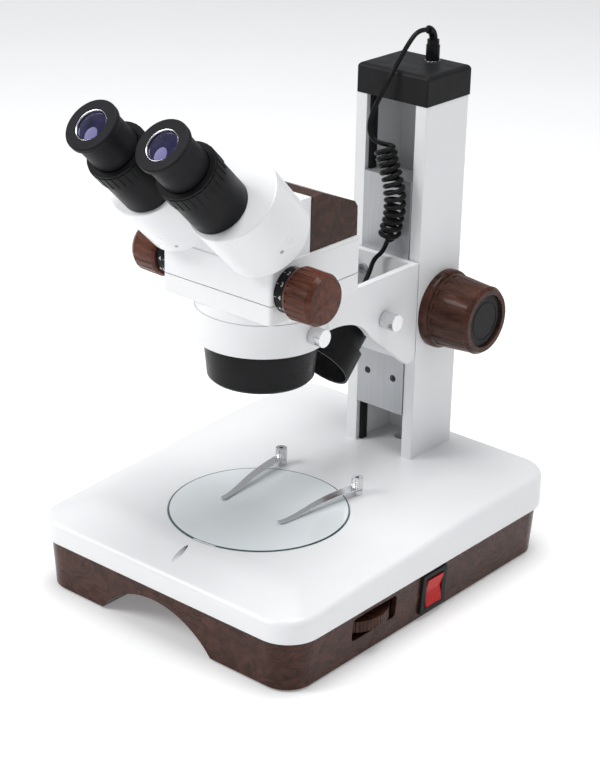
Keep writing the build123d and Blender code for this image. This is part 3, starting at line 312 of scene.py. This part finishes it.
def moulded(name, color, rough, grain=1800, depth=0.00005, edge=0.0, metal=0.0):
    """Moulded or anodised black and other plain parts with a fine grain."""
    material, tree, shader = surface(name, Metallic=metal, Specular_IOR_Level=0.1)
    spot = place(tree)
    dusty = noise(tree, spot, 35, 5, 0.6)
    darker = tuple(0.72 * value for value in color)
    lighter = tuple(min(1.0, 1.25 * value) for value in color)
    tree.links.new(ramp(tree, dusty, [(0.3, darker), (0.72, lighter)]), shader.inputs["Base Color"])
    tree.links.new(remap(tree, noise(tree, spot, 110, 4), rough - 0.06, rough + 0.08),
                   shader.inputs["Roughness"])
    relief(tree, shader, noise(tree, spot, grain, 2), depth, 0.6, edge)
    return material


def brushed(name, color, rough, stretch, metal=1.0, edge=0.0):
    """Metal with fine parallel marks, drawn out along the axis with the small stretch."""
    material, tree, shader = surface(name, Metallic=metal)
    spot = place(tree, stretch)
    lines = noise(tree, spot, 900, 3, 0.55)
    darker = tuple(0.82 * value for value in color)
    tree.links.new(ramp(tree, lines, [(0.25, darker), (0.75, color)]), shader.inputs["Base Color"])
    tree.links.new(remap(tree, lines, rough - 0.05, rough + 0.08), shader.inputs["Roughness"])
    relief(tree, shader, lines, 0.00003, 0.35, edge)
    return material


def glassy(name, color, rough, ior, haze):
    """Clear or tinted glass with a trace of haze."""
    material, tree, shader = surface(name, Transmission_Weight=1.0, IOR=ior)
    spot = place(tree)
    cloudy = noise(tree, spot, 20, 3)
    thin = tuple(0.95 * value for value in color)
    tree.links.new(ramp(tree, cloudy, [(0.3, thin), (0.7, color)]), shader.inputs["Base Color"])
    tree.links.new(remap(tree, cloudy, rough, rough + haze), shader.inputs["Roughness"])
    return material


def plate_glass(name, centre, rim_start, tone, rim_tone):
    """Pale plate glass over a white well, deep green where its ground rim is seen."""
    material, tree, shader = surface(name, Coat_Weight=0.6, Coat_Roughness=0.02)
    spot = place(tree)
    level = add(tree, "ShaderNodeVectorMath", {0: spot, 1: (1, 1, 0)}, operation="MULTIPLY")
    reach = add(tree, "ShaderNodeVectorMath", {0: level.outputs["Vector"], 1: centre}, operation="DISTANCE")
    rim = add(tree, "ShaderNodeMapRange", {"Value": reach.outputs["Value"], "From Min": rim_start,
                                           "From Max": rim_start + 0.0006})
    cloudy = noise(tree, spot, 20, 3)
    thin = tuple(0.95 * value for value in tone)
    colour = add(tree, "ShaderNodeMix", {"Factor": rim.outputs["Result"]}, data_type="RGBA")
    tree.links.new(ramp(tree, cloudy, [(0.3, thin), (0.7, tone)]), colour.inputs["A"])
    colour.inputs["B"].default_value = (*rim_tone, 1)
    tree.links.new(colour.outputs["Result"], shader.inputs["Base Color"])
    body = add(tree, "ShaderNodeMapRange", {"Value": rim.outputs["Result"], "To Min": 0.86, "To Max": 0.97})
    tree.links.new(body.outputs["Result"], shader.inputs["Alpha"])
    tree.links.new(remap(tree, cloudy, 0.04, 0.08), shader.inputs["Roughness"])
    return material


white = enamel("white_enamel", (0.82, 0.825, 0.835), (0.80, 0.805, 0.815), 0.36, 0.0006)
white_head = enamel("white_head_enamel", (0.83, 0.835, 0.845), (0.81, 0.815, 0.825), 0.32, 0.0004)
skirt_burl = burl("skirt_burl", (1, 1, 1.5), (0.064, 0.025, 0.017), 0.22, 0.0006)
cover_burl = burl("cover_burl", (1.2, 1.2, 1.2), (0.052, 0.021, 0.013), 0.20, 0.0004)
knob_burl = burl("knob_burl", (0.35, 1.6, 1.6), (0.070, 0.027, 0.017), 0.24, 0.0003)
zoom_burl = burl("zoom_burl", (0.3, 2.0, 2.0), (0.120, 0.040, 0.023), 0.26, 0.0003)
black_plastic = moulded("black_plastic", (0.016, 0.016, 0.017), 0.42, 1500, 0.00004, 0.0003)
black_paint = moulded("black_paint", (0.012, 0.012, 0.013), 0.30, 900, 0.00003, 0.0004)
black_metal = moulded("black_anodised", (0.011, 0.011, 0.012), 0.38, 2600, 0.00003, 0.0003)
eyecup_rubber = moulded("eyecup_rubber", (0.013, 0.0125, 0.015), 0.46, 2200, 0.00005, 0.0004)
cord_rubber = moulded("cord_rubber", (0.010, 0.010, 0.010), 0.26, 1400, 0.00003)
foot_rubber = moulded("foot_rubber", (0.02, 0.02, 0.02), 0.7, 900, 0.00008)
red_plastic = moulded("red_plastic", (0.50, 0.018, 0.014), 0.22, 800, 0.00002, 0.0003)
milk = moulded("milk_diffuser", (0.78, 0.84, 0.83), 0.4, 1200, 0.00003)
board = moulded("board_green", (0.02, 0.12, 0.05), 0.4, 500, 0.0001)
core = moulded("iron_core", (0.08, 0.075, 0.07), 0.6, 600, 0.0001, 0.0, 0.6)
chrome = brushed("chrome", (0.80, 0.80, 0.81), 0.14, (1, 1, 1), 1.0, 0.0002)
steel = brushed("steel", (0.55, 0.55, 0.56), 0.28, (0.05, 1, 1))
slide_grey = brushed("slide_grey", (0.46, 0.47, 0.49), 0.42, (1, 1, 0.04), 0.55, 0.0003)
brass = brushed("rack_brass", (0.70, 0.50, 0.22), 0.3, (0.1, 1, 1))
mirror = brushed("reflector", (0.93, 0.94, 0.95), 0.10, (1, 1, 1))
stage_centre = (0, -0.0446, 0)
rim_inner = 0.0609
stage_tint = plate_glass("stage_glass_tint", stage_centre, rim_inner, (0.93, 0.98, 1.0), (0.03, 0.085, 0.08))
clear = glassy("clear_glass", (0.96, 0.98, 1.0), 0.01, 1.5, 0.02)
coated = glassy("coated_lens", (0.55, 0.60, 0.75), 0.01, 1.7, 0.01)

dress = {
    "base_skirt": skirt_burl, "base_top_plate": white, "bottom_cover": black_paint,
    "cover_screws": steel, "rubber_feet": foot_rubber, "stage_glass": stage_tint,
    "stage_diffuser": milk, "stage_lock_screw": black_metal, "lower_reflector": mirror,
    "lower_bulb": clear, "transformer": core, "circuit_board": board, "power_inlet": black_plastic,
    "switch_bezel": black_plastic, "rocker_switch": red_plastic, "dimmer_wheel": knob_burl,
    "stage_clip_right": chrome, "stage_clip_left": chrome, "column": white,
    "guide_strips": black_plastic, "column_cap": black_plastic, "lamp_jack": chrome,
    "cord_plug": cord_rubber, "focus_shaft": steel, "focus_collars": knob_burl,
    "focus_knobs": knob_burl, "knob_end_caps": black_paint, "slide_plate": slide_grey,
    "slide_rack": brass, "arm_bracket": white, "arm_screws": steel, "head_lock_screw": chrome,
    "lamp_clamp_screw": chrome, "lamp_pivot_pin": steel, "lamp_housing": black_paint,
    "lamp_reflector": mirror, "lamp_bulb": clear, "head_lower_body": white_head,
    "head_upper_body": white_head, "binocular_block": white_head, "rear_cover": cover_burl,
    "nosepiece": black_paint, "objective_lens": coated, "zoom_shaft": steel,
    "zoom_dials": black_metal, "zoom_knobs": zoom_burl, "zoom_carrier": black_metal,
}
for side in ("right", "left"):
    dress["prism_housing_" + side] = white_head
    dress["prism_" + side] = clear
    dress["eye_tube_" + side] = black_metal
    dress["diopter_ring_" + side] = black_metal
    dress["eyepiece_" + side] = eyecup_rubber
for name, material in dress.items():
    for slot in nodes[name].material_slots:
        slot.material = material
for piece in (lamp_cord, lamp_lead):
    piece.data.materials.append(cord_rubber)


# ---------------------------------------------------------------- details
def lathe(name, profile, origin, axis, material, body, segments=64):
    """A solid of revolution: profile points are (radius, height along the axis)."""
    turn = Vector((0, 0, 1)).rotation_difference(Vector(axis)).to_matrix().to_4x4()
    mesh = bmesh.new()
    rings = []
    for radius, height in profile:
        if radius == 0:
            rings.append([mesh.verts.new((0, 0, height))])
            continue
        ring = []
        for index in range(segments):
            angle = 2 * math.pi * index / segments
            ring.append(mesh.verts.new((radius * math.cos(angle), radius * math.sin(angle), height)))
        rings.append(ring)
    for lower, upper in zip(rings, rings[1:]):
        for index in range(segments):
            nearby = (index + 1) % segments
            corners = [lower[index % len(lower)], lower[nearby % len(lower)],
                       upper[nearby % len(upper)], upper[index % len(upper)]]
            corners = list(dict.fromkeys(corners))
            if len(corners) > 2:
                mesh.faces.new(corners)
    bmesh.ops.recalc_face_normals(mesh, faces=mesh.faces)
    for face in mesh.faces:
        face.smooth = True
    data = bpy.data.meshes.new(name)
    mesh.to_mesh(data)
    mesh.free()
    data.materials.append(material)
    data.transform(Matrix.Translation(origin) @ turn)
    piece = new_object(name, data)
    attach(piece, body)
    return piece


eye_axis = Vector((0, -math.sqrt(0.5), math.sqrt(0.5)))
lens_glass, lens_tree, lens_shader = surface("eye_lens", Roughness=0.05, IOR=1.5,
                                             Specular_Tint=(0.50, 0.48, 1.0, 1))
lens_spot = place(lens_tree)
lens_tone = ramp(lens_tree, noise(lens_tree, lens_spot, 90, 2),
                 [(0.35, (0.010, 0.010, 0.024)), (0.65, (0.028, 0.025, 0.062))])
lens_tree.links.new(lens_tone, lens_shader.inputs["Base Color"])

eye_x, eye_y, eye_z = 0.0292, -0.117145, 0.306655
eye_reach = 0.0675
lens_radius = 0.0101
lens_crown = 0.0021
lens_fall = 0.0017
lens_back = 0.0001
lens_rings = 12
for side, sign in (("right", 1), ("left", -1)):
    centre = Vector((sign * eye_x, eye_y, eye_z))
    face = centre + eye_axis * eye_reach
    dome = [(0.0, lens_crown)]
    for index in range(1, lens_rings + 1):
        share = index / lens_rings
        dome.append((lens_radius * share, lens_crown - lens_fall * share ** 2))
    dome.append((lens_radius, lens_back))
    dome.append((0.0, lens_back))
    lathe("eye_lens_" + side, dome, face, eye_axis, lens_glass, "ocular_" + side)
    ring = [(0.01015, lens_back), (0.01015, 0.0011), (0.01035, 0.0018), (0.0107, 0.0022),
            (0.0109, 0.0020), (0.0109, lens_back), (0.01015, lens_back)]
    lathe("lens_ring_" + side, ring, face, eye_axis, chrome, "ocular_" + side)

# white scale on the two black dials
ink, ink_tree, ink_shader = surface("dial_ink", Roughness=0.5)
ink_tone = ramp(ink_tree, noise(ink_tree, place(ink_tree), 800, 2),
                [(0.3, (0.62, 0.62, 0.60)), (0.7, (0.85, 0.85, 0.83))])
ink_tree.links.new(ink_tone, ink_shader.inputs["Base Color"])
zoom_centre = Vector((0, -0.0715, 0.245))
dial_radius = 0.01504
number_x = 0.0515
number_height = 0.0042
first_number = 214
number_step = 33
tick_start = 0.0469
tick_end = 0.0486
tick_turn = 0.010


def on_dial(along, bend):
    """A point on a dial's face, so far along the zoom axis and so far round it."""
    return (along, zoom_centre.y + dial_radius * math.cos(bend),
            zoom_centre.z + dial_radius * math.sin(bend))


def dial_mesh(name, sign):
    """Numbers and ticks wrapped round one dial, as one mesh that turns with the dials."""
    mesh = bmesh.new()
    for index, number in enumerate(("4.5", "4", "3", "2", "1.5", "1", "0.7")):
        angle = math.radians(first_number - number_step * index)
        words = bpy.data.curves.new("dial_words", "FONT")
        words.body = number
        words.size = number_height
        words.align_x = "CENTER"
        words.align_y = "CENTER"
        words.resolution_u = 3
        holder = new_object("dial_words", words)
        flat = bpy.data.meshes.new_from_object(holder)
        written = bmesh.new()
        written.from_mesh(flat)
        bmesh.ops.subdivide_edges(written, edges=written.edges, cuts=1)
        written.to_mesh(flat)
        written.free()
        for vertex in flat.vertices:
            vertex.co = on_dial(sign * number_x + vertex.co.x, angle - vertex.co.y / dial_radius)
        mesh.from_mesh(flat)
        bpy.data.objects.remove(holder)
        bpy.data.curves.remove(words)
        bpy.data.meshes.remove(flat)
        corners = []
        for along, turn in ((tick_start, -tick_turn), (tick_end, -tick_turn),
                            (tick_end, tick_turn), (tick_start, tick_turn)):
            corners.append(mesh.verts.new(on_dial(sign * along, angle + turn)))
        mesh.faces.new(corners)
    data = bpy.data.meshes.new(name)
    mesh.to_mesh(data)
    mesh.free()
    data.materials.append(ink)
    scale = new_object(name, data)
    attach(scale, "zoom")
    return scale


dial_mesh("dial_scale_right", 1)
dial_mesh("dial_scale_left", -1)

# ---------------------------------------------------------------- studio
ground, ground_tree, ground_shader = surface("pale_floor", Roughness=0.85, Specular_IOR_Level=0.1,
                                             Emission_Color=(1, 1, 1, 1), Emission_Strength=0.2)
ground_tone = ramp(ground_tree, noise(ground_tree, place(ground_tree), 3, 3),
                   [(0.3, (0.88, 0.88, 0.88)), (0.7, (0.91, 0.91, 0.91))])
ground_tree.links.new(ground_tone, ground_shader.inputs["Base Color"])
floor_data = bpy.data.meshes.new("floor")
half = 4
floor_data.from_pydata([(-half, -half, 0), (half, -half, 0), (half, half, 0), (-half, half, 0)],
                       [], [(0, 1, 2, 3)])
floor_data.materials.append(ground)
floor = new_object("floor", floor_data)

world = bpy.data.worlds.new("studio")
world.use_nodes = True
bpy.context.scene.world = world
sky = world.node_tree.nodes["Background"]
sky.inputs["Color"].default_value = (0.95, 0.97, 1.0, 1)
sky.inputs["Strength"].default_value = 0.42


def soft_light(name, position, target, size, power):
    data = bpy.data.lights.new(name, "AREA")
    data.shape = "DISK"
    data.size = size
    data.energy = power
    lamp = new_object(name, data)
    aim = (Vector(target) - Vector(position)).to_track_quat("-Z", "Y").to_matrix().to_4x4()
    lamp.matrix_world = Matrix.Translation(position) @ aim
    return lamp


soft_light("key_light", (-0.9, -1.2, 1.3), (0, -0.02, 0.15), 0.9, 16)
soft_light("top_light", (0.1, 0.1, 1.9), (0, 0, 0.1), 1.2, 24)
soft_light("fill_light", (1.7, 0.3, 0.9), (0, 0, 0.15), 1.0, 1.0)
bpy.context.scene.view_settings.view_transform = "Standard"
